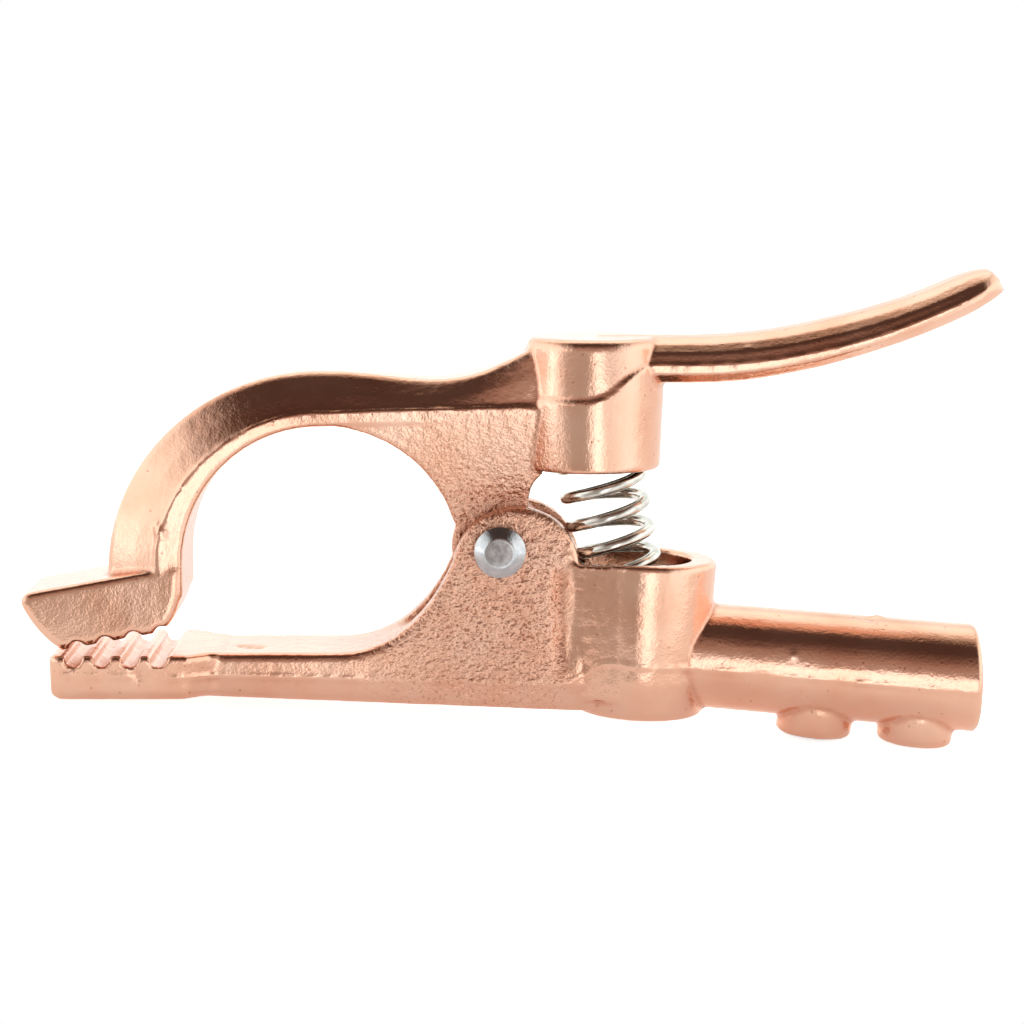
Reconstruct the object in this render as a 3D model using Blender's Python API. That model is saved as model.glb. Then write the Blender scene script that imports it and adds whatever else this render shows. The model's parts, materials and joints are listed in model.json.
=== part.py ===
"""Spring-loaded welding ground clamp: two cast copper-alloy jaws on one rivet.

The lower jaw carries the flat tooth pad, the two ears of the pivot, a spring cup and
the cable socket with its two screw bosses. The upper jaw carries the narrow tooth pad,
the curved arm, the web between the ears, the other spring cup and the handle.

Lengths below are millimetres. X runs from the jaw tips to the cable socket, Y across
the clamp and Z up, and all of them are measured from the pivot, which place() moves so
that the origin is the centre of the clamp's base.
"""

import math

import bmesh
import bpy
from mathutils import Matrix, Vector

MM = 0.001

# The pivot, seen from the centre of the bounding box's bottom face.
PIVOT_X = -2.297
PIVOT_Z = 38.103

# Pivot and clevis.
SHANK_R = 3.2
SHANK_HOLE_R = 3.55
HUB_R = 9.0
WEB_HALF = 4.0
SLOT_HALF = 4.4
EAR_CENTRE = (3.0, -4.0)
EAR_R = 11.8
BODY_HALF = 10.5
DRAFT_UP = 0.045
DRAFT_DOWN = 0.2

# Lower jaw: tooth pad, neck and the line along its underside.
JAW_FACE_Z = -19.0
PAD_TIP_X = -82.5
PAD_HEEL_X = -57.3
NECK_X = -52.3
PAD_HALF = 14.0
PAD_TOP_Z = -18.8
PAD_BASE_Z = -26.9
NECK_BASE_Z = -27.2
BODY_END_Z = -30.5
PARTING = (-24.3, -0.027)

# Teeth: round grooves that run across both pads.
GROOVES = 4
GROOVE_PITCH = 5.2
GROOVE_R = 1.6
FIRST_GROOVE_X = -77.9
LOWER_GROOVE_LIFT = -0.5
UPPER_GROOVE_LIFT = -0.35

# Lower spring cup, leaning a little towards the socket.
LOWER_CUP_X = 27.0
LOWER_RIM_Z = -2.4
LOWER_CUP_R = 13.3
LOWER_CUP_FOOT_R = 12.3
LOWER_CUP_HEIGHT = 29.1
LOWER_CUP_TILT = 2.5
LOWER_BORE_X = 24.4
LOWER_BORE_R = 11.2
LOWER_BORE_DEPTH = 25.5

# Cable socket, sloping down from the cup.
SOCKET_TILT = 5.0
SOCKET_START = (41.0, -21.3)
SOCKET_R = 10.1
SOCKET_LENGTH = 48.2
SOCKET_ROOT = 16.0
SOCKET_BORE_R = 7.3
SOCKET_BORE_DEPTH = 42.0
BOSS_R = 7.0
BOSS_REACH = 13.0
BOSS_ALONG = (18.9, 37.9)
THREAD_HOLE_R = 4.8

# Set screws.
SCREW_R = 4.45
SCREW_LENGTH = 6.5
SCREW_RECESS = 0.3
HEX_ACROSS = 4.8
HEX_DEPTH = 3.2

# Upper jaw: tooth pad and arm.
ARM_CENTRE = (-33.0, -2.5)
ARM_INNER_R = 25.2
ARM_OUTER_CENTRE = (-33.0, -5.0)
ARM_OUTER_A = 39.6
ARM_OUTER_B = 37.4
UPPER_PAD_HALF = 10.3
TOOTH_SLOPE = 10.3
UPPER_PAD_TOP = (-85.6, -7.6)
UPPER_PAD_NOSE = (-87.8, -10.0)
UPPER_TOOTH_TIP = (-80.6, -18.45)
UPPER_TOOTH_END_X = -62.2

# Upper spring cup.
UPPER_CUP_X = 17.2
UPPER_CUP_TOP = 38.7
UPPER_CUP_PARTING = 27.5
UPPER_CUP_RIM = 14.4
UPPER_CUP_TOP_R = 12.4
UPPER_CUP_PARTING_R = 13.2
UPPER_CUP_RIM_R = 12.4
UPPER_BORE_R = 10.7
UPPER_BORE_TOP = 34.6

# Handle: an arc that leaves the cup level and sweeps up.
HANDLE_START_X = 18.0
HANDLE_BEND_X = 34.0
HANDLE_BEND_R = 114.0
HANDLE_Z = 33.8
HANDLE_END_X = 91.3
HANDLE_HALF = 9.0
HANDLE_CROWN = 5.2
HANDLE_BELLY = 3.6
HANDLE_NOSE = 9.0

# Spring.
WIRE_D = 2.25
SPRING_MEAN_R = 7.2
SPRING_FOOT = (24.9, -26.2)
SPRING_HEAD = (17.2, 33.2)
SPRING_LEAN = ((24.8, -10.0), (16.2, 14.0))
SPRING_START = 115.0
FREE_TURNS = 11.0
CLOSED_TURNS = 1.25
STEPS_PER_TURN = 16
WIRE_SIDES = 6

# Rivet.
RIVET_HEAD_R = 4.75
RIVET_FACE_R = 2.7
RIVET_HEAD_HEIGHT = 2.0
GAP = 0.3

COPPER = ("cast_copper", (0.83, 0.50, 0.36), 0.34, 1.0)
ZINC = ("zinc_plated_steel", (0.68, 0.69, 0.70), 0.30, 1.0)
SPRING_STEEL = ("spring_steel", (0.74, 0.74, 0.72), 0.22, 1.0)
BLACK_STEEL = ("black_oxide_steel", (0.09, 0.09, 0.10), 0.45, 1.0)


def clear_scene():
    for old in list(bpy.data.objects):
        bpy.data.objects.remove(old)


def material(description):
    name, colour, roughness, metallic = description
    made = bpy.data.materials.new(name)
    made.use_nodes = True
    shader = made.node_tree.nodes["Principled BSDF"]
    shader.inputs["Base Color"].default_value = (*colour, 1.0)
    shader.inputs["Roughness"].default_value = roughness
    shader.inputs["Metallic"].default_value = metallic
    made.diffuse_color = (*colour, 1.0)
    return made


def place(x, z):
    """The point of the symmetry plane at (x, z) from the pivot, in metres from the origin."""
    return Vector(((PIVOT_X + x) * MM, 0.0, (PIVOT_Z + z) * MM))


def point(x, y, z):
    return place(x, z) + Vector((0.0, y * MM, 0.0))


# Plane curves, as lists of (x, z) from the pivot.


def arc(centre, radius, start, end, steps, radius_z=None):
    """Points of a circle's arc, or of an ellipse's, between two angles in degrees."""
    radius_z = radius_z or radius
    points = []
    for step in range(steps + 1):
        angle = math.radians(start + (end - start) * step / steps)
        points.append(
            (centre[0] + radius * math.cos(angle), centre[1] + radius_z * math.sin(angle))
        )
    return points


def bezier(p0, p1, p2, p3, steps):
    points = []
    for step in range(steps + 1):
        t = step / steps
        weights = ((1 - t) ** 3, 3 * t * (1 - t) ** 2, 3 * t * t * (1 - t), t**3)
        corners = (p0, p1, p2, p3)
        points.append(
            tuple(sum(w * c[axis] for w, c in zip(weights, corners)) for axis in (0, 1))
        )
    return points


def blend(start, end, t):
    """A smooth step from start to end as t goes from 0 to 1."""
    t = min(max(t, 0.0), 1.0)
    return start + (end - start) * t * t * (3 - 2 * t)


# Solids.


def object_from(bm, name):
    bmesh.ops.recalc_face_normals(bm, faces=bm.faces)
    mesh = bpy.data.meshes.new(name)
    bm.to_mesh(mesh)
    bm.free()
    made = bpy.data.objects.new(name, mesh)
    bpy.context.scene.collection.objects.link(made)
    return made


def loft(name, rings):
    """A closed solid through rings of the same number of points, capped at both ends."""
    bm = bmesh.new()
    rows = [[bm.verts.new(p) for p in ring] for ring in rings]
    for row, after in zip(rows, rows[1:]):
        for i, vert in enumerate(row):
            j = (i + 1) % len(row)
            bm.faces.new((vert, row[j], after[j], after[i]))
    bm.faces.new(rows[0])
    bm.faces.new(rows[-1])
    return object_from(bm, name)


def prism(name, outline, half, bevel=0.0):
    """An (x, z) outline, extruded to both sides of the symmetry plane."""
    rings = [[point(x, side, z) for x, z in outline] for side in (-half, half)]
    made = loft(name, rings)
    if bevel:
        bm = bmesh.new()
        bm.from_mesh(made.data)
        bm.faces.ensure_lookup_table()
        caps = [f for f in bm.faces if abs(f.normal.y) > 0.99]
        rims = list({edge for cap in caps for edge in cap.edges})
        bmesh.ops.bevel(
            bm, geom=rims, offset=bevel * MM, segments=2, profile=0.5, affect="EDGES"
        )
        bm.to_mesh(made.data)
        bm.free()
    return made


def upright(name, outline, low, high):
    """An (x, y) outline, extruded from one height to another."""
    return loft(name, [[point(x, y, z) for x, y in outline] for z in (low, high)])


def turned(name, profile, frame, segments=48):
    """A profile of (radius, height) pairs from axis to axis, turned about the frame's Z."""
    bm = bmesh.new()
    rows = []
    for radius, height in profile:
        if radius < 1e-6:
            rows.append([bm.verts.new(frame @ Vector((0.0, 0.0, height * MM)))])
            continue
        row = []
        for step in range(segments):
            angle = 2 * math.pi * step / segments
            spot = Vector((radius * math.cos(angle), radius * math.sin(angle), height))
            row.append(bm.verts.new(frame @ (spot * MM)))
        rows.append(row)
    for row, after in zip(rows, rows[1:]):
        for i in range(segments):
            j = (i + 1) % segments
            if len(row) == 1:
                bm.faces.new((row[0], after[j], after[i]))
            elif len(after) == 1:
                bm.faces.new((row[i], row[j], after[0]))
            else:
                bm.faces.new((row[i], row[j], after[j], after[i]))
    return object_from(bm, name)


def plain_turn(name, frame, radius, low, high, segments=32):
    return turned(name, [(0, low), (radius, low), (radius, high), (0, high)], frame, segments)


def combined(target, others, operation):
    """Target after one Boolean with each of the others, which are used up."""
    for other in others:
        modifier = target.modifiers.new(operation.lower(), "BOOLEAN")
        modifier.operation = operation
        modifier.solver = "EXACT"
        modifier.object = other
        graph = bpy.context.evaluated_depsgraph_get()
        mesh = bpy.data.meshes.new_from_object(target.evaluated_get(graph))
        target.modifiers.remove(modifier)
        target.data = mesh
        bpy.data.objects.remove(other)
    return target


def finished(made, name, finish):
    """The named, shaded object in its material."""
    made.name = name
    made.data.name = name
    made.data.materials.clear()
    made.data.materials.append(finish)
    made.data.shade_smooth()
    made.data.set_sharp_from_angle(angle=math.radians(35))
    return made


# Frames of the tilted features: local Z is each feature's own axis.


def across_frame(x, z):
    """Local Z along the clamp's Y, at (x, z) from the pivot."""
    return Matrix.Translation(place(x, z)) @ Matrix.Rotation(math.radians(-90), 4, "X")


def upright_frame(x, z, tilt=0.0):
    return Matrix.Translation(place(x, z)) @ Matrix.Rotation(math.radians(tilt), 4, "Y")


def socket_frame():
    """Local Z along the sloping socket, whose mouth and other sections stay upright."""
    slope = math.radians(SOCKET_TILT)
    axes = Matrix(((0, 0, math.cos(slope)), (0, 1, 0), (-1, 0, -math.sin(slope))))
    return Matrix.Translation(place(*SOCKET_START)) @ axes.to_4x4()


def boss_frame(along):
    """Local Z up through a screw boss, with its zero on the socket's axis."""
    slope = math.radians(SOCKET_TILT)
    x = SOCKET_START[0] + along * math.cos(slope)
    z = SOCKET_START[1] - along * math.sin(slope)
    return upright_frame(x, z, SOCKET_TILT)


# Lower jaw.


def body_outline():
    """Neck and ears from the side: flat jaw face, sweep up to the round ear, underside."""
    ear = arc(EAR_CENTRE, EAR_R, -6, 170, 36)
    sweep = bezier(
        ear[-1], (-12.5, -12.0), (-20.0, JAW_FACE_Z), (-30.0, JAW_FACE_Z), 20
    )
    inside_cup = [(LOWER_CUP_X, BODY_END_Z), (LOWER_CUP_X, -8.0)]
    return inside_cup + ear + sweep[1:] + [(-54.0, JAW_FACE_Z), (-54.0, NECK_BASE_Z)]


def parting_z(x):
    """Height of the line round the lower jaw where the two halves of its mould met."""
    return PARTING[0] + PARTING[1] * x


def drafted(made):
    """Lean the sides in, up and down from the parting line, so that the mould lets go."""
    bm = bmesh.new()
    bm.from_mesh(made.data)
    bmesh.ops.bisect_plane(
        bm,
        geom=[*bm.verts, *bm.edges, *bm.faces],
        plane_co=place(0.0, PARTING[0]),
        plane_no=(-PARTING[1], 0.0, 1.0),
    )
    for vert in bm.verts:
        above = vert.co.z / MM - PIVOT_Z - parting_z(vert.co.x / MM - PIVOT_X)
        lean = DRAFT_UP * above if above > 0 else -DRAFT_DOWN * above
        vert.co.y *= 1 - lean / BODY_HALF
    bm.to_mesh(made.data)
    bm.free()
    return made


def lower_pad():
    """The wide tooth pad, with chamfered corners and a heel that narrows to the neck."""
    half = [
        (PAD_TIP_X, PAD_HALF - 1.8),
        (PAD_TIP_X + 0.6, PAD_HALF - 0.6),
        (PAD_TIP_X + 1.8, PAD_HALF),
        (PAD_HEEL_X, PAD_HALF),
        (NECK_X - 0.8, BODY_HALF + 0.2),
        (NECK_X + 0.8, BODY_HALF - 0.2),
    ]
    outline = half + [(x, -y) for x, y in reversed(half)]
    levels = [
        (PAD_BASE_Z, 1.0),
        (PAD_BASE_Z + 0.9, 0.2),
        (PAD_TOP_Z - 0.6, 0.0),
        (PAD_TOP_Z, 0.5),
    ]
    centre_x = (PAD_TIP_X + NECK_X) / 2
    length = NECK_X - PAD_TIP_X
    rings = []
    for z, inset in levels:
        shrink_x, shrink_y = 1 - 2 * inset / length, 1 - inset / PAD_HALF
        rings.append(
            [
                point(centre_x + (x - centre_x) * shrink_x, y * shrink_y, z)
                for x, y in outline
            ]
        )
    return loft("pad", rings)


def lower_cup():
    frame = upright_frame(LOWER_CUP_X, LOWER_RIM_Z, LOWER_CUP_TILT)
    foot = -LOWER_CUP_HEIGHT
    profile = [
        (0, foot),
        (LOWER_CUP_FOOT_R - 1.4, foot),
        (LOWER_CUP_FOOT_R - 0.4, foot + 0.45),
        (LOWER_CUP_FOOT_R, foot + 1.5),
        (LOWER_CUP_R - 0.45, foot + 7.0),
        (LOWER_CUP_R, -0.7),
        (LOWER_CUP_R - 0.6, 0),
        (0, 0),
    ]
    return turned("cup", profile, frame, 72)


def cup_cheeks():
    """The hollow curves that lead from the ears' faces out to the cup."""
    curve = [(11.0, 9.4), (14.6, 10.1), (17.4, 10.95), (19.8, 11.65), (22.0, 12.1)]
    outline = curve + [(x, -y) for x, y in reversed(curve)]
    return upright("cheeks", outline, -27.5, -2.6)


def lower_jaw(finish):
    jaw = drafted(prism("body", body_outline(), BODY_HALF, bevel=1.3))
    socket = turned(
        "socket",
        [
            (0, -SOCKET_ROOT),
            (SOCKET_R - 0.3, -SOCKET_ROOT),
            (SOCKET_R, SOCKET_LENGTH - 0.7),
            (SOCKET_R - 0.7, SOCKET_LENGTH),
            (0, SOCKET_LENGTH),
        ],
        socket_frame(),
        48,
    )
    bosses = []
    for along in BOSS_ALONG:
        profile = [
            (0, -BOSS_REACH),
            (BOSS_R - 0.7, -BOSS_REACH),
            (BOSS_R, -BOSS_REACH + 0.7),
            (BOSS_R + 0.25, -SOCKET_BORE_R - 0.4),
            (0, -SOCKET_BORE_R - 0.4),
        ]
        bosses.append(turned("boss", profile, boss_frame(along), 36))
    combined(jaw, [lower_pad(), lower_cup(), cup_cheeks(), socket, *bosses], "UNION")
    return finished(combined(jaw, lower_cutters(), "DIFFERENCE"), "lower_jaw", finish)


def slot_outline():
    """The gap between the ears: a floor, the round seat under the hub, and a way to the cup."""
    seat = arc((0.0, 0.0), HUB_R + 0.7, 262, 325, 9)
    floor = [(-27.5, JAW_FACE_Z + 0.1), (-15.0, -14.6), (-8.0, -11.4)]
    top, back = 16.0, 16.5
    return floor + seat + [(back, seat[-1][1]), (back, top), (-30.0, top), (-30.0, floor[0][1])]


def lower_cutters():
    cutters = [prism("slot", slot_outline(), SLOT_HALF)]
    rim = upright_frame(LOWER_BORE_X, LOWER_RIM_Z, LOWER_CUP_TILT)
    bore = [
        (0, -LOWER_BORE_DEPTH),
        (LOWER_BORE_R - 1.6, -LOWER_BORE_DEPTH),
        (LOWER_BORE_R - 0.4, -LOWER_BORE_DEPTH + 1.2),
        (LOWER_BORE_R, 0),
        (LOWER_BORE_R, 1.5),
        (0, 1.5),
    ]
    cutters.append(turned("bore", bore, rim, 56))
    mouth = SOCKET_LENGTH
    hole = [
        (0, mouth - SOCKET_BORE_DEPTH),
        (SOCKET_BORE_R - 0.2, mouth - SOCKET_BORE_DEPTH),
        (SOCKET_BORE_R, mouth - 0.6),
        (SOCKET_BORE_R + 0.8, mouth + 0.2),
        (SOCKET_BORE_R + 0.8, mouth + 3.0),
        (0, mouth + 3.0),
    ]
    cutters.append(turned("socket_bore", hole, socket_frame(), 40))
    for along in BOSS_ALONG:
        frame = boss_frame(along)
        cutters.append(plain_turn("thread", frame, THREAD_HOLE_R, -BOSS_REACH - 1, -1))
    cutters.append(plain_turn("pin", across_frame(0, 0), SHANK_HOLE_R, -16, 16))
    for number in range(GROOVES):
        x = FIRST_GROOVE_X + number * GROOVE_PITCH
        frame = across_frame(x, PAD_TOP_Z + LOWER_GROOVE_LIFT)
        cutters.append(plain_turn("groove", frame, GROOVE_R, -20, 20, 20))
    return cutters


# Upper jaw.


def upper_tooth_z(x):
    slope = math.tan(math.radians(TOOTH_SLOPE))
    return UPPER_TOOTH_TIP[1] + (x - UPPER_TOOTH_TIP[0]) * slope


def upper_pad():
    heel_x = ARM_CENTRE[0] - ARM_INNER_R
    outline = [(heel_x - 2.0, -2.9)]
    outline += bezier(UPPER_PAD_TOP, (-87.3, -7.9), (-88.3, -8.7), UPPER_PAD_NOSE, 4)
    outline += bezier(UPPER_PAD_NOSE, (-87.0, -12.2), (-84.2, -16.2), UPPER_TOOTH_TIP, 5)[1:]
    outline += bezier(
        (UPPER_TOOTH_END_X, upper_tooth_z(UPPER_TOOTH_END_X)),
        (heel_x - 1.8, -13.4),
        (heel_x, -9.5),
        (heel_x, -5.0),
        6,
    )
    outline.append((heel_x, -2.0))
    return prism("upper_pad", outline, UPPER_PAD_HALF, bevel=1.1)


def arm_stations():
    """(inner point, outer point, ridge share, ridge half width, crest half width) along the arm.

    The arm is widest along a ridge near its inner side, where the two halves of the
    casting's mould met, and slopes from there to a narrow crest on its outer side.
    """
    stations = []
    inner_x = ARM_CENTRE[0] - ARM_INNER_R
    outer_x = ARM_OUTER_CENTRE[0] - ARM_OUTER_A
    for z in (-8.5, -5.6):
        stations.append(((inner_x, z), (outer_x, z), 0.33, UPPER_PAD_HALF, 4.8))
    bend = 30
    inner = arc(ARM_CENTRE, ARM_INNER_R, 180, 90, bend)
    outer = arc(ARM_OUTER_CENTRE, ARM_OUTER_A, 180, 90, bend, ARM_OUTER_B)
    for step in range(bend + 1):
        t = step / bend
        share = blend(0.33, 0.25, t * 1.4)
        ridge = blend(UPPER_PAD_HALF, 8.9, t)
        crest = blend(4.8, 4.0, t)
        stations.append((inner[step], outer[step], share, ridge, crest))
    back = bezier((-33.0, 32.4), (-24.0, 32.4), (-18.0, 31.0), (-12.0, 31.0), 9)
    rise = bezier((-12.0, 31.0), (-5.0, 31.0), (0.0, 33.4), (9.0, 38.6), 9)
    for x, z in back[1:] + rise[1:]:
        t = (x + 33.0) / 42.0
        low = 22.7 + 0.8 * t
        ridge_z = 25.1 + 1.4 * t
        share = (ridge_z - low) / (z - low)
        stations.append(((x, low), (x, z), share, 8.9 - 0.4 * t, 4.0 + 2.0 * t))
    return stations


def arm():
    rings = []
    for inner, outer, share, ridge, crest in arm_stations():
        thickness = math.dist(inner, outer)
        steps = [
            (0.0, ridge - 0.9),
            (0.6 / thickness, ridge - 0.35),
            (share, ridge),
            (share + 0.5 / thickness, ridge - 0.5),
            ((share + 0.95) / 2, (ridge + crest) / 2 + 0.1),
            (1 - 0.7 / thickness, crest),
            (1.0, crest - 1.0),
        ]
        half = []
        for along, width in steps:
            x = inner[0] + (outer[0] - inner[0]) * along
            z = inner[1] + (outer[1] - inner[1]) * along
            half.append((x, width, z))
        rings.append(
            [point(x, -y, z) for x, y, z in half]
            + [point(x, y, z) for x, y, z in reversed(half)]
        )
    return loft("arm", rings)


def web():
    """The plate from the arm down to the hub: even between the ears, widening above them."""
    hub = arc((0.0, 0.0), HUB_R, 55, -206, 30)
    throat = arc(ARM_CENTRE, ARM_INNER_R + 0.15, 17.0, 88, 26)
    roof = [(-30.0, 25.0), (11.0, 26.0), (11.0, 14.6)]
    fillet = bezier((9.6, 14.2), (6.2, 13.6), (5.3, 11.0), (5.16, 7.5), 6)
    outline = hub + throat + roof + fillet[:-1]
    plate = prism("web", outline, UPPER_PAD_HALF)
    narrow, wide, step_z, top_z = WEB_HALF, 8.75, 9.0, 25.5
    section = [(-narrow, -14.0), (-narrow, step_z), (-wide, top_z), (-wide, 30.0)]
    section += [(-y, z) for y, z in reversed(section)]
    keep = loft("keep", [[point(x, y, z) for y, z in section] for x in (-50.0, 30.0)])
    return combined(plate, [keep], "INTERSECT")


def upper_cup():
    """The cup, whose parting line climbs on the socket's side to meet the handle's."""
    segments = 56
    levels = [
        (UPPER_CUP_RIM, UPPER_CUP_RIM_R - 0.5, 0.0),
        (UPPER_CUP_RIM + 0.6, UPPER_CUP_RIM_R, 0.0),
        (UPPER_CUP_PARTING - 0.3, UPPER_CUP_PARTING_R, 1.0),
        (UPPER_CUP_PARTING + 0.4, UPPER_CUP_PARTING_R - 0.5, 1.0),
        (UPPER_CUP_TOP - 1.6, UPPER_CUP_TOP_R, 0.0),
        (UPPER_CUP_TOP - 0.5, UPPER_CUP_TOP_R - 0.5, 0.0),
        (UPPER_CUP_TOP, UPPER_CUP_TOP_R - 1.7, 0.0),
    ]
    rings = []
    for height, radius, share in levels:
        ring = []
        for step in range(segments):
            angle = 2 * math.pi * step / segments
            across = math.cos(angle)
            climb = share * blend(0.0, HANDLE_Z - UPPER_CUP_PARTING, (across + 0.1) / 0.95)
            ring.append(
                point(UPPER_CUP_X + radius * across, radius * math.sin(angle), height + climb)
            )
        rings.append(ring)
    return loft("upper_cup", rings)


def handle_line(x):
    """Height and slope angle of the handle's parting line at x."""
    beyond = max(x - HANDLE_BEND_X, 0.0)
    turn = math.asin(beyond / HANDLE_BEND_R)
    return HANDLE_Z + HANDLE_BEND_R * (1 - math.cos(turn)), turn


def handle():
    """A domed bar that narrows to a round nose, and whose parting line is its widest level."""
    places = [HANDLE_START_X + step * 3.6 for step in range(19)]
    nose_steps = (0.0, 0.25, 0.48, 0.68, 0.83, 0.93, 0.985, 1.0)
    nose_x = HANDLE_END_X - HANDLE_NOSE
    places = [x for x in places if x < nose_x - 2] + [nose_x + HANDLE_NOSE * n for n in nose_steps]
    rings = []
    for x in places:
        z, turn = handle_line(x)
        reach = max((x - nose_x) / HANDLE_NOSE, 0.0)
        round_off = math.sqrt(max(1 - reach * reach, 0.0))
        waist = blend(8.4, HANDLE_HALF, (x - 34) / 40)
        half = waist * (0.22 + 0.78 * round_off)
        crown = HANDLE_CROWN * blend(1.0, 0.85, (x - 60) / 25) * (0.16 + 0.84 * round_off**0.7)
        belly = HANDLE_BELLY * blend(1.0, 0.78, (x - 40) / 30) * (0.85 + 0.15 * round_off)
        section = [(half * 0.97, 0.35)]
        for step in range(1, 8):
            angle = math.radians(180 * step / 8)
            section.append((half * 0.95 * math.cos(angle), 0.35 + (crown - 0.35) * math.sin(angle)))
        section += [(-half * 0.97, 0.35), (-half, 0.0), (-half * 0.96, -belly * 0.4)]
        section += [(-half * 0.74, -belly * 0.9), (0.0, -belly), (half * 0.74, -belly * 0.9)]
        section += [(half * 0.96, -belly * 0.4), (half, 0.0)]
        rings.append(
            [
                point(x - n * math.sin(turn), y, z + n * math.cos(turn))
                for y, n in section
            ]
        )
    return loft("handle", rings)


def upper_jaw(finish):
    jaw = arm()
    combined(jaw, [upper_pad(), web(), upper_cup(), handle()], "UNION")
    bore = [
        (0, UPPER_CUP_RIM - 2),
        (UPPER_BORE_R, UPPER_CUP_RIM - 2),
        (UPPER_BORE_R, UPPER_CUP_RIM),
        (UPPER_BORE_R - 0.5, UPPER_BORE_TOP - 1.2),
        (UPPER_BORE_R - 1.8, UPPER_BORE_TOP),
        (0, UPPER_BORE_TOP),
    ]
    cutters = [turned("bore", bore, upright_frame(UPPER_CUP_X, 0), 56)]
    cutters.append(plain_turn("pin", across_frame(0, 0), SHANK_HOLE_R, -8, 8))
    for number in range(GROOVES):
        x = FIRST_GROOVE_X + 0.2 + number * GROOVE_PITCH
        frame = across_frame(x, upper_tooth_z(x) + UPPER_GROOVE_LIFT)
        cutters.append(plain_turn("groove", frame, GROOVE_R, -20, 20, 20))
    return finished(combined(jaw, cutters, "DIFFERENCE"), "upper_jaw", finish)


# Spring, rivet and screws.


def spring_axis(t):
    """Point of the bowed spring's axis, and the direction along it, at share t of its length."""
    near = bezier(SPRING_FOOT, *SPRING_LEAN, SPRING_HEAD, 200)
    index = min(int(t * 200), 199)
    share = t * 200 - index
    a, b = Vector(near[index]), Vector(near[index + 1])
    return a.lerp(b, share), (b - a).normalized()


def spring(finish):
    """Round wire in a right-hand coil, with closed turns at both ends."""
    turns = FREE_TURNS + 2 * CLOSED_TURNS
    closed_rise = CLOSED_TURNS * WIRE_D * 1.06
    length = math.dist(SPRING_FOOT, SPRING_HEAD)
    count = round(turns * STEPS_PER_TURN)
    centres = []
    for step in range(count + 1):
        turn = step / STEPS_PER_TURN
        if turn < CLOSED_TURNS:
            rise = closed_rise * turn / CLOSED_TURNS
        elif turn > turns - CLOSED_TURNS:
            rise = length - closed_rise * (turns - turn) / CLOSED_TURNS
        else:
            free = (turn - CLOSED_TURNS) / FREE_TURNS
            rise = closed_rise + (length - 2 * closed_rise) * free
        middle, along = spring_axis(min(rise / length, 1.0))
        side = Vector((along.y, -along.x))
        angle = 2 * math.pi * turn + math.radians(SPRING_START)
        offset = side * math.cos(angle) * SPRING_MEAN_R
        spot = middle + offset
        centres.append(point(spot.x, SPRING_MEAN_R * math.sin(angle), spot.y))
    rings = []
    for i, centre in enumerate(centres):
        before, after = centres[max(i - 1, 0)], centres[min(i + 1, count)]
        tangent = (after - before).normalized()
        middle, along = spring_axis(i / count)
        axis_point = point(middle.x, 0, middle.y)
        outward = (centre - axis_point) - tangent * (centre - axis_point).dot(tangent)
        outward.normalize()
        upward = tangent.cross(outward)
        ring = []
        for side in range(WIRE_SIDES):
            angle = 2 * math.pi * side / WIRE_SIDES
            ring.append(
                centre + (outward * math.cos(angle) + upward * math.sin(angle)) * WIRE_D / 2 * MM
            )
        rings.append(ring)
    return finished(loft("wire", rings), "spring", finish)


def rivet(finish):
    """A solid rivet: shank through both ears and the web, with a coned head each side."""
    seat = BODY_HALF + GAP
    top = seat + RIVET_HEAD_HEIGHT
    half = [(SHANK_R, 0), (SHANK_R, seat), (RIVET_HEAD_R, seat), (RIVET_HEAD_R, seat + 0.45)]
    half += [(RIVET_FACE_R, top - 0.1), (RIVET_FACE_R - 0.3, top), (0, top)]
    profile = [(r, -h) for r, h in reversed(half)] + half[1:]
    return finished(turned("pivot", profile, across_frame(0, 0), 32), "pivot_rivet", finish)


def set_screw(along, name, finish):
    """A hexagon-socket set screw, flush in its boss, with its point towards the cable."""
    frame = boss_frame(along)
    low = -BOSS_REACH + SCREW_RECESS
    high = low + SCREW_LENGTH
    profile = [(0, low), (SCREW_R - 0.4, low), (SCREW_R, low + 0.4)]
    profile += [(SCREW_R, high - 1.0), (SCREW_R - 1.2, high), (0, high - 0.5)]
    screw = turned("screw", profile, frame, 28)
    key = turned(
        "key",
        [
            (0, low - 1),
            (HEX_ACROSS / math.sqrt(3), low - 1),
            (HEX_ACROSS / math.sqrt(3), low + HEX_DEPTH),
            (0, low + HEX_DEPTH + 0.6),
        ],
        frame,
        6,
    )
    return finished(combined(screw, [key], "DIFFERENCE"), name, finish)


def main():
    clear_scene()
    copper, zinc = material(COPPER), material(ZINC)
    steel, black = material(SPRING_STEEL), material(BLACK_STEEL)
    lower_jaw(copper)
    upper_jaw(copper)
    spring(steel)
    rivet(zinc)
    set_screw(BOSS_ALONG[0], "set_screw_inner", black)
    set_screw(BOSS_ALONG[1], "set_screw_outer", black)


main()
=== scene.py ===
import json
import math

import bmesh
import bpy
import numpy as np
from mathutils import Matrix, Vector, noise


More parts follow.
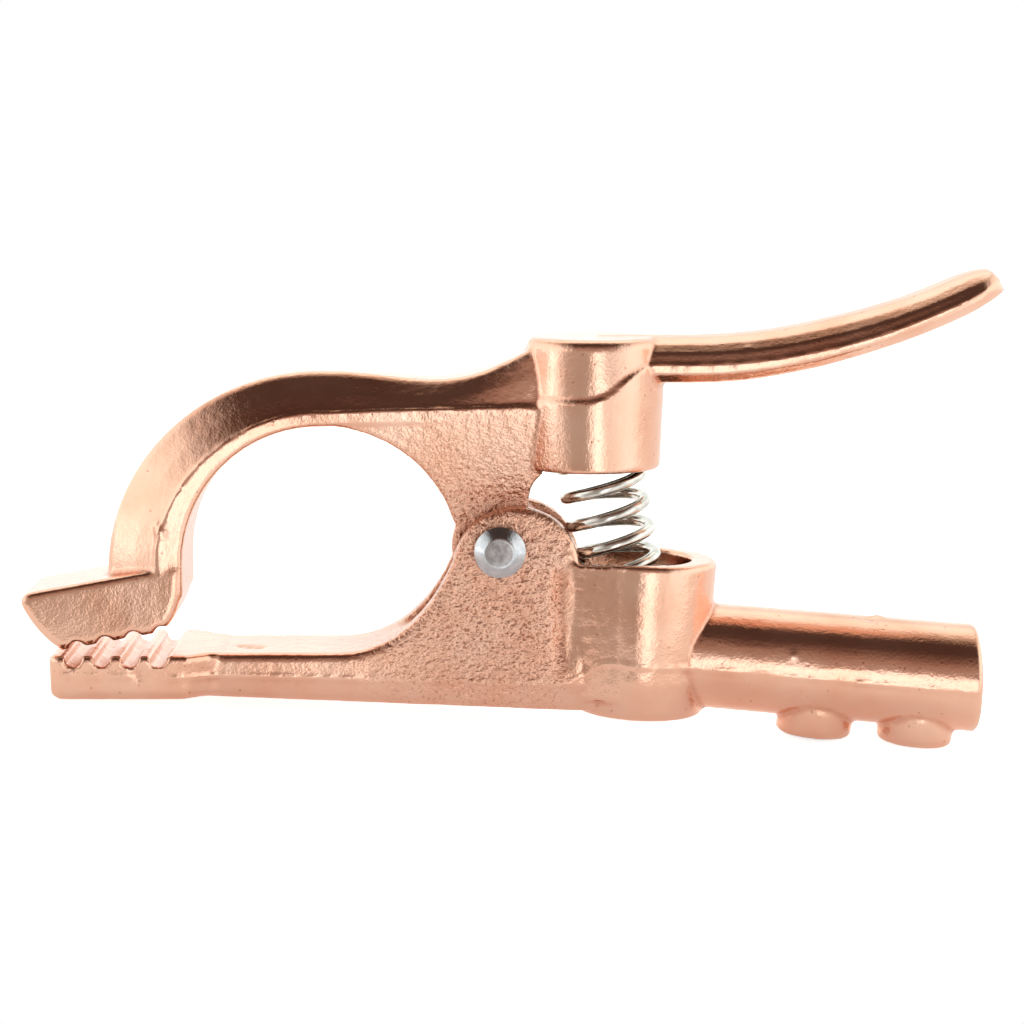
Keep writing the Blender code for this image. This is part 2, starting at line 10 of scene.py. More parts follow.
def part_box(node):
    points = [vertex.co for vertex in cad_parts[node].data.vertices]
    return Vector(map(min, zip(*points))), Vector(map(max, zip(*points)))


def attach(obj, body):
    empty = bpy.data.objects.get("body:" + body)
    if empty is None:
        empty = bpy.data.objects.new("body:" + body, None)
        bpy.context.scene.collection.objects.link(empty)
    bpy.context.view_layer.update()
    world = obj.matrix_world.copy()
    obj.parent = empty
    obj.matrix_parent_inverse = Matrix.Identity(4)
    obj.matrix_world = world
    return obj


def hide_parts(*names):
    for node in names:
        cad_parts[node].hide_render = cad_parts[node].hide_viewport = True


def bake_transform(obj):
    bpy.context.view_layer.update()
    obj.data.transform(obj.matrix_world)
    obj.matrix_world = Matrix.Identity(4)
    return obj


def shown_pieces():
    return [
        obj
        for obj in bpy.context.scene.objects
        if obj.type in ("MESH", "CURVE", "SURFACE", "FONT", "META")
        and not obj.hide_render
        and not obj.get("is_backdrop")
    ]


# Looks of a cast-copper ground clamp: two castings with mould lines, grain and pits,
# a bright coil spring, a zinc-plated rivet and black set screws.
# Sizes are millimetres from the pivot, as in the CAD design, unless a name says otherwise.

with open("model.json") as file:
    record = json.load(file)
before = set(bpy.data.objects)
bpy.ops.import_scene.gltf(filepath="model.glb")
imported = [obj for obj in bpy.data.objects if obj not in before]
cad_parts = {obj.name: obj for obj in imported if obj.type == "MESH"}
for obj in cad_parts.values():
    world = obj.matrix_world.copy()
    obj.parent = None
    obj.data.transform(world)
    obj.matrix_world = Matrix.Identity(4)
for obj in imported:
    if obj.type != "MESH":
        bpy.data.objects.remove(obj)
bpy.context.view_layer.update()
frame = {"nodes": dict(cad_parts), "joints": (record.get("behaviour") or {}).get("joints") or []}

MM = 0.001
PIVOT = Vector(frame["joints"][0]["pos_m"])

# Lines of the design that the mould marks and the spring follow.
NECK_SEAM = (-24.3, -0.027)
SOCKET_SEAM = (41.0, -22.2)
SEAM_STEP = (11.0, 20.5)
SEAM_ENDS = (-81.0, 88.5)
ARM_CENTRE = (-33.0, -2.5)
ARM_INNER_R = 25.2
ARM_OUTER_CENTRE = (-33.0, -5.0)
ARM_OUTER = (39.6, 37.4)
SOCKET_SLOPE = math.tan(math.radians(5.0))
HANDLE_BEND = (34.0, 114.0, 33.8)
UPPER_CUP = (17.2, 27.5, 13.2)
ARM_END_X, BACK_END_X, CUP_END_X = -33.0, 5.5, 30.0
BACK_LENGTH = 42.0
BACK_SEAM = (25.1, 1.4)
RIDGE_SHARES = (0.33, 0.25)
SHANK_R, RIVET_SEAT = 3.2, 10.8
SPRING_PATH = ((24.9, -26.2), (24.8, -10.0), (16.2, 14.0), (17.2, 33.2))
SPRING_MEAN_R = 7.2
SPRING_START = 115.0
WIRE_D = 2.25
FREE_TURNS = 11.0
CLOSED_TURNS = 1.25

# The castings' skin: sizes are across, heights and depths are along the normal.
VOXEL = 0.45 * MM
EASING_ROUNDS = 9
EASING_STEPS = (0.55, -0.57)
WAVE_SIZE, WAVE_HEIGHT = 7.0, 0.04
GRAIN_SIZE, TEAR_SIZE = 1.3, 2.6
SEAM_WIDTH, SEAM_HEIGHT = 0.42, 0.22
NO_SEAM = 9.0
JUNCTION_X, JUNCTION_WIDTH, JUNCTION_DEPTH = 11.3, 1.6, 1.2

# The clamp lies on the pad's lower edge and on the outer screw boss. The floor's glow is
# given for light that reaches the clamp, then for what the camera sees.
LYING_POINTS = ((-82.5, 0.0, -26.9), (84.6, 0.0, -38.2))
FLOOR_GLOW = (0.34, 0.8)

# The studio's light: angle in degrees and colour. The ceiling goes from the horizon in
# front over the top to the one behind, the wall from behind by the left round to behind.
CEILING = [
    (0, (0.62, 0.57, 0.54)),
    (12, (0.50, 0.40, 0.36)),
    (26, (0.42, 0.29, 0.24)),
    (42, (0.20, 0.125, 0.10)),
    (56, (0.085, 0.052, 0.041)),
    (84, (0.085, 0.052, 0.041)),
    (98, (0.62, 0.50, 0.40)),
    (122, (0.95, 0.90, 0.80)),
    (150, (1.1, 1.15, 1.1)),
    (180, (1.45, 1.45, 1.45)),
]
WALL = [
    (-180, (1.4, 1.4, 1.4)),
    (-115, (1.9, 1.9, 1.9)),
    (-74, (2.1, 2.1, 2.1)),
    (-60, (0.95, 0.92, 0.88)),
    (-44, (0.54, 0.49, 0.44)),
    (-9, (0.50, 0.45, 0.40)),
    (-4, (0.85, 0.83, 0.8)),
    (2, (1.95, 1.95, 1.95)),
    (13, (2.0, 2.0, 2.0)),
    (21, (1.0, 0.98, 0.95)),
    (40, (1.25, 1.25, 1.22)),
    (68, (1.5, 1.5, 1.48)),
    (100, (1.25, 1.23, 1.2)),
    (180, (1.4, 1.4, 1.4)),
]
SIDE_WALL = (1.5, 1.47, 1.42)


def smoothstep(x, low, high):
    t = np.clip((x - low) / (high - low), 0.0, 1.0)
    return t * t * (3 - 2 * t)


# Castings: the CAD shape, remeshed fine, eased and roughened like a sand casting.


def fine_copy(node, name):
    """A new object with the CAD node's shape in an even fine mesh."""
    made = bpy.data.objects.new(name, frame["nodes"][node].data.copy())
    bpy.context.scene.collection.objects.link(made)
    remesh = made.modifiers.new("remesh", "REMESH")
    remesh.mode = "VOXEL"
    remesh.voxel_size = VOXEL
    graph = bpy.context.evaluated_depsgraph_get()
    mesh = bpy.data.meshes.new_from_object(made.evaluated_get(graph))
    made.modifiers.clear()
    made.data = mesh
    mesh.name = name
    return made


def read_points(mesh):
    co = np.empty(len(mesh.vertices) * 3, np.float32)
    mesh.vertices.foreach_get("co", co)
    return co.reshape(-1, 3).astype(float)


def read_normals(mesh):
    normals = np.empty(len(mesh.vertices) * 3, np.float32)
    mesh.vertex_normals.foreach_get("vector", normals)
    return normals.reshape(-1, 3).astype(float)


def write_points(mesh, co):
    mesh.vertices.foreach_set("co", co.astype(np.float32).ravel())
    mesh.update()


def eased(mesh, strength):
    """Taubin smoothing: rounds edges off without shrinking the whole shape."""
    edges = np.empty(len(mesh.edges) * 2, np.int32)
    mesh.edges.foreach_get("vertices", edges)
    a, b = edges.reshape(-1, 2).T
    co = read_points(mesh)
    count = len(co)
    degree = np.bincount(a, minlength=count) + np.bincount(b, minlength=count)
    for _ in range(EASING_ROUNDS):
        for factor in EASING_STEPS:
            total = np.empty_like(co)
            for axis in range(3):
                total[:, axis] = np.bincount(a, co[b, axis], count)
                total[:, axis] += np.bincount(b, co[a, axis], count)
            co += (total / degree[:, None] - co) * factor * strength[:, None]
    write_points(mesh, co)


def noise_at(points_mm, size, octaves, seed):
    """Fractal noise of about -1 to 1 at each point, with features of that size in mm."""
    shift = Vector((seed * 17.3, seed * 5.9, seed * 11.7))
    return np.array(
        [noise.fractal(Vector(p) / size + shift, 0.9, 2.0, octaves) for p in points_mm]
    )


def local(co):
    """Points in mm from the pivot."""
    return (co - np.array(PIVOT)) / MM


def ridge(distance, width):
    return np.exp(-((distance / width) ** 2))


def bump(p, centre, radius):
    """1 at a spot, falling to 0 over its radius."""
    d2 = ((p - np.array(centre)) ** 2).sum(1)
    return np.exp(-d2 / (radius * radius))


def lower_seam(x):
    """Height of the lower casting's mould line along the clamp."""
    neck = NECK_SEAM[0] + NECK_SEAM[1] * x
    socket = SOCKET_SEAM[1] - SOCKET_SLOPE * (x - SOCKET_SEAM[0])
    t = smoothstep(x, *SEAM_STEP)
    return neck * (1 - t) + socket * t


def arm_ridge_radius(angle):
    """Distance of the arm's widest line from the arm's centre, by angle from the tips up."""
    t = np.clip((math.pi - angle) / (math.pi / 2), 0.0, 1.0)
    inner = np.stack([np.cos(angle), np.sin(angle)], 1) * ARM_INNER_R + np.array(ARM_CENTRE)
    outer = np.stack([np.cos(angle) * ARM_OUTER[0], np.sin(angle) * ARM_OUTER[1]], 1)
    outer += np.array(ARM_OUTER_CENTRE)
    start, end = RIDGE_SHARES
    share = start + (end - start) * smoothstep(t * 1.4, 0.0, 1.0)
    ridge_point = inner + (outer - inner) * share[:, None]
    return np.hypot(ridge_point[:, 0] - ARM_CENTRE[0], ridge_point[:, 1] - ARM_CENTRE[1])


def upper_seam_distance(p):
    """Signed distance of each point from the upper casting's mould line, seen from the side."""
    x, z = p[:, 0], p[:, 2]
    angle = np.arctan2(z - ARM_CENTRE[1], x - ARM_CENTRE[0])
    angle = np.where(angle < 0, angle + 2 * math.pi, angle)
    radius = np.hypot(x - ARM_CENTRE[0], z - ARM_CENTRE[1])
    arm = radius - arm_ridge_radius(np.clip(angle, math.pi / 2, math.pi))
    back = z - (BACK_SEAM[0] + BACK_SEAM[1] * (x - ARM_END_X) / BACK_LENGTH)
    cup_x, cup_z, cup_r = UPPER_CUP
    bend_x, bend_r, bend_z = HANDLE_BEND
    climb = (bend_z - cup_z) * smoothstep(((x - cup_x) / cup_r + 0.1) / 0.95, 0.0, 1.0)
    cup = z - cup_z - climb
    turn = np.arcsin(np.clip((x - bend_x) / bend_r, 0, 0.9))
    handle = z - bend_z - bend_r * (1 - np.cos(turn))
    past_back = np.where(x < CUP_END_X, cup, handle)
    past_arm = np.where(x < BACK_END_X, back, past_back)
    return np.where(x < ARM_END_X, arm, past_arm)


def roughened(mesh, seam, grain, marks, relief=0.0):
    """Moves the surface along its normals: mould line, waves, grain, relief and single marks.

    A mark is a centre, a radius and how far the surface rises or sinks there.
    """
    co, normals = read_points(mesh), read_normals(mesh)
    p = local(co)
    wave = noise_at(p, WAVE_SIZE, 2, 1)
    coarse = noise_at(p, GRAIN_SIZE, 3, 2)
    torn = noise_at(p, TEAR_SIZE, 2, 3)
    sideways = np.sqrt(np.clip(1 - normals[:, 2] ** 2, 0, 1))
    line = ridge(seam, SEAM_WIDTH) * np.clip(0.55 + 0.9 * torn, 0.12, 1.3) * sideways
    height = WAVE_HEIGHT * wave + grain * coarse + SEAM_HEIGHT * line + relief
    for centre, radius, lift in marks:
        height = height + lift * bump(p, centre, radius) * (1 + 0.5 * coarse)
    write_points(mesh, co + normals * (height * MM)[:, None])


def ear_junction(p):
    """1 along the upright groove where the ears meet the lower cup, 0 elsewhere."""
    across = ridge(p[:, 0] - JUNCTION_X, JUNCTION_WIDTH)
    outside = np.abs(p[:, 1]) > 7
    below_rim = smoothstep(-p[:, 2], 2.0, 6.0)
    above_foot = smoothstep(p[:, 2], -25.0, -15.0)
    return across * below_rim * outside * above_foot


def lower_casting():
    """Lower jaw: grain strongest on the ears, next to none in the socket."""
    made = fine_copy("lower_jaw", "lower_casting")
    p = local(read_points(made.data))
    teeth = smoothstep(-p[:, 0], 54.0, 58.0) * smoothstep(p[:, 2], -23.5, -21.5)
    eased(made.data, 1.0 - 0.75 * teeth)
    p = local(read_points(made.data))
    within_socket = (np.abs(p[:, 1]) < 9.8) & (p[:, 0] > 52)
    ears = ridge(np.hypot(p[:, 0] - 2.0, p[:, 2] + 3.0), 15.0)
    grain = np.where(within_socket, 0.01, 0.03 + 0.15 * ears)
    seam = p[:, 2] - lower_seam(p[:, 0])
    first, last = SEAM_ENDS
    seam = np.where((p[:, 0] > last) | (p[:, 0] < first), NO_SEAM, seam)
    marks = [
        ((-46.3, -3.0, -19.0), 1.5, -0.35),
        ((-44.6, -3.4, -19.0), 0.9, -0.3),
        ((-48.4, -2.4, -19.0), 0.8, -0.25),
        ((68.8, -2.0, -13.6), 1.3, -0.30),
        ((70.6, 0.0, -13.7), 1.0, 0.35),
        ((54.0, -9.0, -19.5), 0.7, 0.3),
        ((-24.0, -10.0, -23.0), 1.4, -0.15),
        ((-66.0, -13.9, -22.2), 1.1, -0.25),
    ]
    roughened(made.data, seam, grain, marks, -JUNCTION_DEPTH * ear_junction(p))
    return made


def upper_casting():
    """Upper jaw: the web is a little rougher than the arm, cup and handle."""
    made = fine_copy("upper_jaw", "upper_casting")
    p = local(read_points(made.data))
    teeth = smoothstep(-p[:, 0], 57.0, 60.0) * smoothstep(-p[:, 2], 11.5, 13.5)
    eased(made.data, 1.0 - 0.7 * teeth)
    p = local(read_points(made.data))
    web = smoothstep(p[:, 0], -24.0, -14.0) * smoothstep(-p[:, 0], -9.0, -4.0)
    grain = 0.022 + 0.02 * web
    seam = np.where(p[:, 2] < -3.0, NO_SEAM, upper_seam_distance(p))
    marks = [
        ((-61.8, -9.6, 3.2), 1.0, 0.55),
        ((-62.6, -9.3, 4.6), 0.7, 0.35),
        ((-58.5, -8.5, 6.5), 0.9, -0.2),
        ((83.0, -6.0, 47.0), 0.7, -0.25),
        ((45.0, -7.0, 37.2), 0.5, 0.2),
    ]
    roughened(made.data, seam, grain, marks)
    return made


# Spring, rivet and screws.


def swept(name, rings):
    """A smooth closed skin over rings of the same number of points."""
    bm = bmesh.new()
    rows = [[bm.verts.new(p) for p in ring] for ring in rings]
    for row, after in zip(rows, rows[1:]):
        for i, vert in enumerate(row):
            j = (i + 1) % len(row)
            bm.faces.new((vert, row[j], after[j], after[i]))
    bm.faces.new(rows[0])
    bm.faces.new(rows[-1])
    bmesh.ops.recalc_face_normals(bm, faces=bm.faces)
    mesh = bpy.data.meshes.new(name)
    bm.to_mesh(mesh)
    bm.free()
    made = bpy.data.objects.new(name, mesh)
    bpy.context.scene.collection.objects.link(made)
    mesh.shade_smooth()
    return made


def spring_axis(t):
    """Point and direction of the bowed axis of the spring at share t of its way."""
    p0, p1, p2, p3 = (Vector(p) for p in SPRING_PATH)
    at = p0 * (1 - t) ** 3 + p1 * 3 * t * (1 - t) ** 2 + p2 * 3 * t * t * (1 - t) + p3 * t**3
    along = (p1 - p0) * (1 - t) ** 2 + (p2 - p1) * 2 * t * (1 - t) + (p3 - p2) * t * t
    return at, along.normalized()


def coil():
    """Round spring wire: closed turns at both ends and open ones between, right-handed."""
    steps, sides = 56, 16
    turns = FREE_TURNS + 2 * CLOSED_TURNS
    length = math.dist(SPRING_PATH[0], SPRING_PATH[-1])
    closed_rise = CLOSED_TURNS * WIRE_D * 1.06
    count = round(turns * steps)
    centres = []
    for step in range(count + 1):
        turn = step / steps
        if turn < CLOSED_TURNS:
            rise = closed_rise * turn / CLOSED_TURNS
        elif turn > turns - CLOSED_TURNS:
            rise = length - closed_rise * (turns - turn) / CLOSED_TURNS
        else:
            rise = closed_rise + (length - 2 * closed_rise) * (turn - CLOSED_TURNS) / FREE_TURNS
        middle, along = spring_axis(min(rise / length, 1.0))
        angle = 2 * math.pi * turn + math.radians(SPRING_START)
        spot = middle + Vector((along.y, -along.x)) * math.cos(angle) * SPRING_MEAN_R
        y = SPRING_MEAN_R * math.sin(angle)
        centres.append(PIVOT + Vector((spot.x, y, spot.y)) * MM)
    rings = []
    outward = Vector((1, 0, 0))
    for i, centre in enumerate(centres):
        tangent = (centres[min(i + 1, count)] - centres[max(i - 1, 0)]).normalized()
        outward = (outward - tangent * outward.dot(tangent)).normalized()
        upward = tangent.cross(outward)
        end = min(i, count - i)
        radius = WIRE_D / 2 * MM * (1.0 if end > 2 else (0.8, 0.93, 0.98)[end])
        ring = []
        for side in range(sides):
            a = 2 * math.pi * side / sides
            ring.append(centre + (outward * math.cos(a) + upward * math.sin(a)) * radius)
        rings.append(ring)
    return swept("coil_spring", rings)


def turned(name, profile, matrix, segments, wobble=0.0):
    """A (radius, height) profile in mm turned about the matrix's Z, slightly out of round."""
    rings = []
    for radius, height in profile:
        ring = []
        for step in range(segments):
            angle = 2 * math.pi * step / segments
            uneven = 1 + wobble * math.sin(3 * angle + 0.7) + wobble * 0.6 * math.sin(5 * angle)
            r = max(radius, 0.01) * uneven
            ring.append(matrix @ (Vector((r * math.cos(angle), r * math.sin(angle), height)) * MM))
        rings.append(ring)
    return swept(name, rings)


def rivet():
    """Shank and two pressed heads: a rounded rim, a coned flank and a small flat face."""
    low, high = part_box("pivot_rivet")
    top = (high.y - low.y) / 2 / MM
    head_r = (high.x - low.x) / 2 / MM
    half = [(SHANK_R, 0.0), (SHANK_R, RIVET_SEAT)]
    half += [(head_r - 0.15, RIVET_SEAT), (head_r, RIVET_SEAT + 0.12)]
    half += [(head_r - 0.03, RIVET_SEAT + 0.34), (head_r - 0.22, RIVET_SEAT + 0.50)]
    half += [(2.95, top - 0.20), (2.75, top - 0.07), (2.5, top - 0.02), (1.2, top), (0.0, top)]
    profile = [(r, -h) for r, h in reversed(half)] + half[1:]
    centre = Vector(((low.x + high.x) / 2, 0.0, (low.z + high.z) / 2))
    matrix = Matrix.Translation(centre) @ Matrix.Rotation(math.radians(90), 4, "X")
    made = turned("rivet", profile, matrix, 96, 0.004)
    bevelled = made.modifiers.new("soft edges", "BEVEL")
    bevelled.width = 0.05 * MM
    bevelled.segments = 2
    bevelled.limit_method = "ANGLE"
    bevelled.angle_limit = math.radians(25)
    return made


# Materials.


def tree_of(name):
    made = bpy.data.materials.new(name)
    made.use_nodes = True
    nodes, links = made.node_tree.nodes, made.node_tree.links
    return made, nodes, links, nodes["Principled BSDF"]


def textured(nodes, links, kind, scale, coordinate, **settings):
    texture = nodes.new(kind)
    texture.inputs["Scale"].default_value = scale
    for key, value in settings.items():
        texture.inputs[key].default_value = value
    links.new(coordinate, texture.inputs["Vector"])
    return texture


def ramp(nodes, links, value, stops):
    made = nodes.new("ShaderNodeValToRGB")
    elements = made.color_ramp.elements
    while len(elements) < len(stops):
        elements.new(0.5)
    for element, (position, colour) in zip(elements, stops):
        element.position = position
        element.color = (*colour, 1.0) if len(colour) == 3 else colour
    links.new(value, made.inputs["Fac"])
    return made.outputs["Color"]


def mixed(nodes, links, factor, first, second):
    made = nodes.new("ShaderNodeMix")
    made.data_type = "RGBA"
    links.new(factor, made.inputs["Factor"])
    links.new(first, made.inputs["A"])
    links.new(second, made.inputs["B"])
    return made.outputs["Result"]


def ranged(nodes, links, value, low, high, to_low, to_high):
    made = nodes.new("ShaderNodeMapRange")
    made.inputs["From Min"].default_value = low
    made.inputs["From Max"].default_value = high
    made.inputs["To Min"].default_value = to_low
    made.inputs["To Max"].default_value = to_high
    links.new(value, made.inputs["Value"])
    return made.outputs["Result"]


def bumped(nodes, links, height, distance_mm, strength, before=None):
    """A bump as deep as the distance, whose strength is a number or another node's value."""
    made = nodes.new("ShaderNodeBump")
    made.inputs["Distance"].default_value = distance_mm * MM
    if isinstance(strength, float):
        made.inputs["Strength"].default_value = strength
    else:
        links.new(strength, made.inputs["Strength"])
    links.new(height, made.inputs["Height"])
    if before:
        links.new(before, made.inputs["Normal"])
    return made.outputs["Normal"]


def maths(nodes, links, operation, first, second):
    made = nodes.new("ShaderNodeMath")
    made.operation = operation
    for socket, value in zip(made.inputs, (first, second)):
        if isinstance(value, (int, float)):
            socket.default_value = value
        else:
            links.new(value, socket)
    return made.outputs["Value"]


def beside_axis(nodes, links, place, x, z):
    """Distance in metres of each surface point from the line along Y through x and z."""
    spot = place
    for operation, amount in (("SUBTRACT", (x, 0.0, z)), ("MULTIPLY", (1.0, 0.0, 1.0))):
        step = nodes.new("ShaderNodeVectorMath")
        step.operation = operation
        links.new(spot, step.inputs[0])
        step.inputs[1].default_value = amount
        spot = step.outputs["Vector"]
    length = nodes.new("ShaderNodeVectorMath")
    length.operation = "LENGTH"
    links.new(spot, length.inputs[0])
    return length.outputs["Value"]


def copper_material():
    """Copper-flashed casting: rosy metal, fine sandy grain, tarnish in patches, painted shade in
    hollows and in the grain's creases near the ear.
    """
    made, nodes, links, shader = tree_of("cast_copper_finish")
    place = nodes.new("ShaderNodeTexCoord").outputs["Object"]
    patches = textured(nodes, links, "ShaderNodeTexNoise", 90.0, place, Detail=4.0)
    grain = textured(nodes, links, "ShaderNodeTexNoise", 1850.0, place, Detail=3.0, Roughness=0.6)
    sand = textured(nodes, links, "ShaderNodeTexNoise", 2600.0, place, Detail=2.0)
    pores = textured(nodes, links, "ShaderNodeTexVoronoi", 420.0, place)
    ear = beside_axis(nodes, links, place, PIVOT.x - 0.002, PIVOT.z - 0.005)
    near_ear = ranged(nodes, links, ear, 0.034, 0.012, 0.0, 1.0)
    axes = nodes.new("ShaderNodeSeparateXYZ")
    links.new(place, axes.inputs["Vector"])
    before_cup = ranged(nodes, links, axes.outputs["X"], 0.0115, 0.0085, 0.0, 1.0)
    near_ear = maths(nodes, links, "MULTIPLY", near_ear, before_cup)
    tone = ramp(
        nodes,
        links,
        patches.outputs["Fac"],
        [(0.30, (0.82, 0.46, 0.325)), (0.52, (0.865, 0.53, 0.39)), (0.75, (0.89, 0.58, 0.445))],
    )
    # Painted shade: the colour darkens and reddens in hollows, where the mesh's pointiness is low,
    # in place of occlusion.
    painted_hollow_shade = ramp(
        nodes,
        links,
        nodes.new("ShaderNodeNewGeometry").outputs["Pointiness"],
        [(0.44, (0.66, 0.40, 0.33)), (0.50, (1.0, 1.0, 1.0)), (0.56, (1.0, 1.0, 1.0))],
    )
    speck = ramp(
        nodes,
        links,
        pores.outputs["Distance"],
        [(0.05, (0.50, 0.36, 0.30)), (0.13, (1.0, 1.0, 1.0))],
    )
    # Painted shade: darker in the low creases of the grain bump, only near the ear, to strengthen
    # the crinkle's light and dark.
    painted_crease_shade = ramp(
        nodes,
        links,
        grain.outputs["Fac"],
        [(0.36, (0.50, 0.34, 0.28)), (0.46, (1.0, 1.0, 1.0))],
    )
    colour = tone
    for factor, layer in ((1.0, painted_hollow_shade), (0.55, speck), (near_ear, painted_crease_shade)):
        mix = nodes.new("ShaderNodeMix")
        mix.data_type = "RGBA"
        mix.blend_type = "MULTIPLY"
        if isinstance(factor, float):
            mix.inputs["Factor"].default_value = factor
        else:
            links.new(factor, mix.inputs["Factor"])
        links.new(colour, mix.inputs["A"])
        links.new(layer, mix.inputs["B"])
        colour = mix.outputs["Result"]
    links.new(colour, shader.inputs["Base Color"])
    links.new(
        ranged(nodes, links, patches.outputs["Fac"], 0.3, 0.7, 0.10, 0.19),
        shader.inputs["Roughness"],
    )
    depth = ranged(nodes, links, near_ear, 0.0, 1.0, 0.16, 1.0)
    crinkle = textured(nodes, links, "ShaderNodeTexNoise", 780.0, place, Detail=2.0)
    normal = bumped(nodes, links, crinkle.outputs["Fac"], 0.55, near_ear)
    normal = bumped(nodes, links, grain.outputs["Fac"], 0.30, depth, normal)
    normal = bumped(nodes, links, sand.outputs["Fac"], 0.02, 0.8, normal)
    pits = ranged(nodes, links, pores.outputs["Distance"], 0.0, 0.16, 0.0, 1.0)
    normal = bumped(nodes, links, pits, 0.05, 0.4, normal)
    links.new(normal, shader.inputs["Normal"])
    shader.inputs["Metallic"].default_value = 1.0
    return made


def rivet_material():
    """Zinc plate with a bluish cast, duller on the pressed flat of each head."""
    made, nodes, links, shader = tree_of("zinc_plate")
    place = nodes.new("ShaderNodeTexCoord").outputs["Object"]
    axis = beside_axis(nodes, links, place, PIVOT.x, PIVOT.z)
    flat = ranged(nodes, links, axis, 0.0027, 0.0022, 0.0, 1.0)
    clouds = textured(nodes, links, "ShaderNodeTexNoise", 620.0, place, Detail=5.0)
    fine = textured(nodes, links, "ShaderNodeTexNoise", 1900.0, place, Detail=4.0)
    cloud = clouds.outputs["Fac"]
    plate = ramp(nodes, links, cloud, [(0.35, (0.50, 0.53, 0.56)), (0.65, (0.64, 0.66, 0.69))])
    dull = ramp(nodes, links, cloud, [(0.38, (0.24, 0.22, 0.22)), (0.62, (0.40, 0.38, 0.38))])
    links.new(mixed(nodes, links, flat, plate, dull), shader.inputs["Base Color"])
    links.new(ranged(nodes, links, flat, 0.0, 1.0, 0.16, 0.34), shader.inputs["Roughness"])
    links.new(bumped(nodes, links, fine.outputs["Fac"], 0.06, 0.6), shader.inputs["Normal"])
    shader.inputs["Metallic"].default_value = 1.0
    return made


def steel_material(name, dark, light, rough, grain_scale, grain_depth):
    """Plated or blackened steel with cloudy tone, fine scratches and pits."""
    made, nodes, links, shader = tree_of(name)
    place = nodes.new("ShaderNodeTexCoord").outputs["Object"]
    clouds = textured(nodes, links, "ShaderNodeTexNoise", 420.0, place, Detail=5.0)
    fine = textured(nodes, links, "ShaderNodeTexNoise", grain_scale, place, Detail=3.0)
    tone = ramp(nodes, links, clouds.outputs["Fac"], [(0.35, dark), (0.65, light)])
    links.new(tone, shader.inputs["Base Color"])
    links.new(
        ranged(nodes, links, clouds.outputs["Fac"], 0.3, 0.7, rough[0], rough[1]),
        shader.inputs["Roughness"],
    )
    links.new(bumped(nodes, links, fine.outputs["Fac"], grain_depth, 0.5), shader.inputs["Normal"])
    shader.inputs["Metallic"].default_value = 1.0
    return made


def dress(piece, finish, body, node):
    piece.data.materials.clear()
    piece.data.materials.append(finish)
    if body:
        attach(piece, body)
    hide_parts(node)


# Studio.


def area_light(name, place, aim, size, power):
    light = bpy.data.lights.new(name, "AREA")
    light.shape = "RECTANGLE"
    light.size, light.size_y = size
    light.energy = power
    made = bpy.data.objects.new(name, light)
    bpy.context.scene.collection.objects.link(made)
    made.location = place
    made.rotation_euler = (Vector(aim) - Vector(place)).to_track_quat("-Z", "Y").to_euler()


def floor():
    """A pale sheet of paper that the clamp lies on, touching the pad's edge and a screw boss.

    It ends a little in front of the clamp, and it glows more where it is seen directly, so
    that it runs into the white backdrop.
    """
    front, back, half = -0.06, 4.0, 3.0
    mesh = bpy.data.meshes.new("floor")
    corners = [(-half, front, 0), (half, front, 0), (half, back, 0), (-half, back, 0)]
    mesh.from_pydata(corners, [], [(0, 1, 2, 3)])
    sheet = bpy.data.objects.new("floor", mesh)
    bpy.context.scene.collection.objects.link(sheet)
    left, right = (Vector(at) * MM + PIVOT for at in LYING_POINTS)
    lean = math.atan2(left.z - right.z, right.x - left.x)
    sheet.rotation_euler = (0.0, lean, 0.0)
    sheet.location = (0.0, 0.0, left.z + left.x * math.tan(lean) - 0.1 * MM)
    made, nodes, links, shader = tree_of("floor_paper")
    shader.inputs["Base Color"].default_value = (0.92, 0.92, 0.92, 1.0)
    shader.inputs["Roughness"].default_value = 0.9
    shader.inputs["Specular IOR Level"].default_value = 0.1
    shader.inputs["Emission Color"].default_value = (1.0, 1.0, 1.0, 1.0)
    seen = nodes.new("ShaderNodeLightPath").outputs["Is Camera Ray"]
    glow = ranged(nodes, links, seen, 0.0, 1.0, *FLOOR_GLOW)
    links.new(glow, shader.inputs["Emission Strength"])
    mesh.materials.append(made)
    sheet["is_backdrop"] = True


def eased_range(nodes, links, value, low, high):
    made = nodes.new("ShaderNodeMapRange")
    made.interpolation_type = "SMOOTHSTEP"
    made.inputs["From Min"].default_value = low
    made.inputs["From Max"].default_value = high
    links.new(value, made.inputs["Value"])
    return made.outputs["Result"]


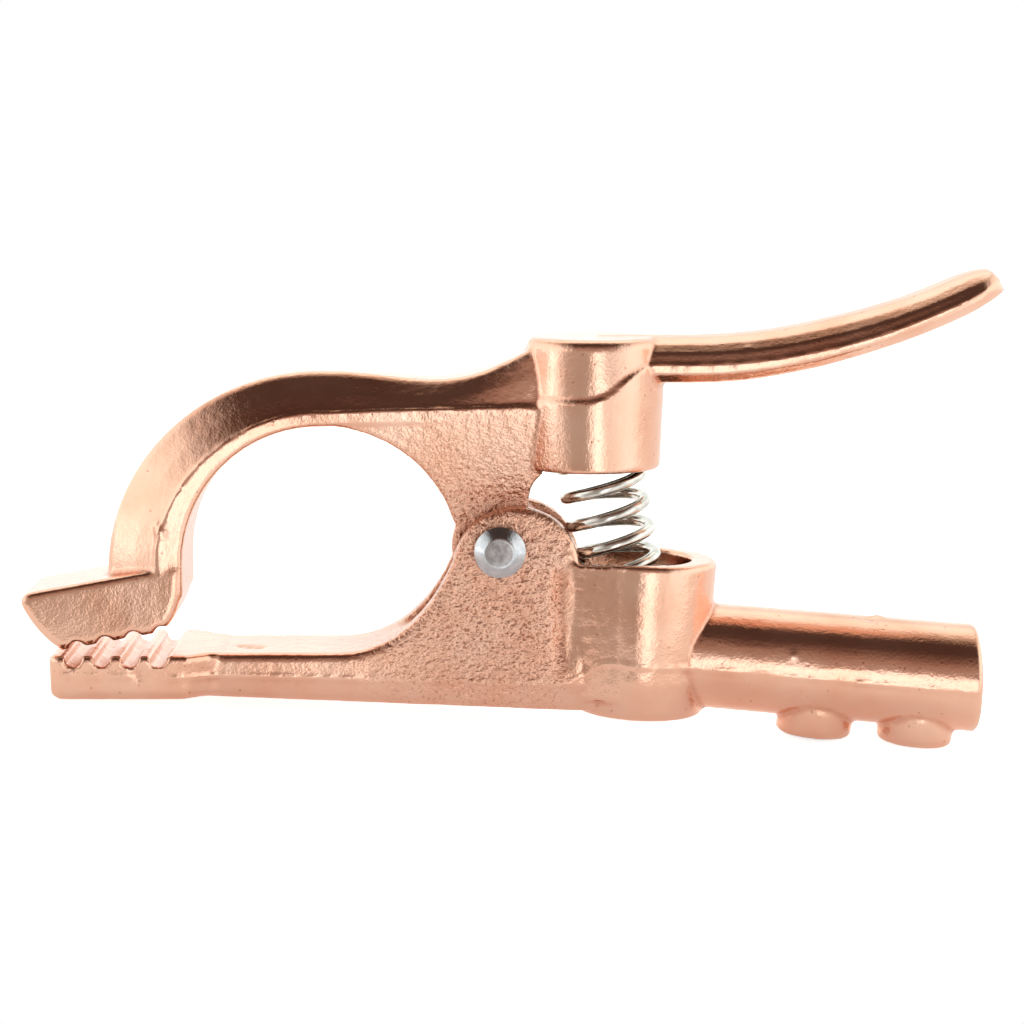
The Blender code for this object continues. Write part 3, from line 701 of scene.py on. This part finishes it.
def studio_world():
    """Light walls behind and at the sides, a dark ceiling in front, white where it is seen.

    Near the horizon the wall in front is dim on the left and bright from the middle on.
    """
    world = bpy.data.worlds.new("studio")
    bpy.context.scene.world = world
    world.use_nodes = True
    nodes, links = world.node_tree.nodes, world.node_tree.links
    place = nodes.new("ShaderNodeTexCoord").outputs["Generated"]
    axes = nodes.new("ShaderNodeSeparateXYZ")
    links.new(place, axes.inputs["Vector"])
    x, y, z = axes.outputs
    ahead = maths(nodes, links, "MULTIPLY", y, -1.0)
    over = maths(nodes, links, "ARCTAN2", z, ahead)
    about = maths(nodes, links, "ARCTAN2", x, ahead)
    ceiling = ramp(
        nodes,
        links,
        ranged(nodes, links, over, 0.0, math.pi, 0.0, 1.0),
        [(angle / 180, colour) for angle, colour in CEILING],
    )
    wall = ramp(
        nodes,
        links,
        ranged(nodes, links, about, -math.pi, math.pi, 0.0, 1.0),
        [(0.5 + angle / 360, colour) for angle, colour in WALL],
    )
    side = nodes.new("ShaderNodeRGB")
    side.outputs[0].default_value = (*SIDE_WALL, 1.0)
    outward = maths(nodes, links, "ABSOLUTE", x, 0.0)
    to_side = eased_range(nodes, links, outward, 0.45, 0.9)
    to_ceiling = eased_range(nodes, links, z, 0.0, 0.16)
    high = mixed(nodes, links, to_side, ceiling, side.outputs[0])
    light = mixed(nodes, links, to_ceiling, wall, high)
    white = nodes.new("ShaderNodeRGB")
    white.outputs[0].default_value = (1.0, 1.0, 1.0, 1.0)
    seen = nodes.new("ShaderNodeLightPath").outputs["Is Camera Ray"]
    sky = nodes["Background"]
    links.new(mixed(nodes, links, seen, light, white.outputs[0]), sky.inputs["Color"])


def studio():
    studio_world()
    floor()
    area_light("top_back", (0.0, 0.45, 0.75), (0.0, 0.0, 0.04), (0.9, 0.5), 0.7)


def camera():
    """Level with the clamp, a little above, with a long lens square on to its side."""
    elevation, distance = math.radians(8.1), 0.524
    centre = PIVOT + Vector((2.18, 0.0, 5.90)) * MM
    data = bpy.data.cameras.new("camera")
    data.sensor_width = 36.0
    data.lens = 99.1
    data.clip_start = 0.01
    made = bpy.data.objects.new("camera", data)
    bpy.context.scene.collection.objects.link(made)
    made.location = centre + Vector((0, -math.cos(elevation), math.sin(elevation))) * distance
    made.rotation_euler = (math.pi / 2 - elevation, 0.0, 0.0)
    bpy.context.scene.camera = made


def main():
    camera()
    studio()
    bpy.context.scene.view_settings.view_transform = "Standard"
    copper = copper_material()
    wire = steel_material(
        "spring_wire", (0.55, 0.54, 0.50), (0.80, 0.79, 0.74), (0.08, 0.18), 1500.0, 0.015
    )
    zinc = rivet_material()
    black = steel_material(
        "black_oxide", (0.03, 0.03, 0.032), (0.07, 0.07, 0.075), (0.35, 0.5), 2200.0, 0.04
    )
    dress(lower_casting(), copper, "lower", "lower_jaw")
    dress(upper_casting(), copper, "upper", "upper_jaw")
    spring = coil()
    dress(spring, wire, None, "spring")
    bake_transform(spring)
    dress(rivet(), zinc, "lower", "pivot_rivet")
    for node in ("set_screw_inner", "set_screw_outer"):
        frame["nodes"][node].data.materials.clear()
        frame["nodes"][node].data.materials.append(black)
    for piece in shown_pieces():
        if piece.type == "MESH":
            piece.data.shade_smooth()
    bpy.data.objects["rivet"].data.set_sharp_from_angle(angle=math.radians(30))


main()
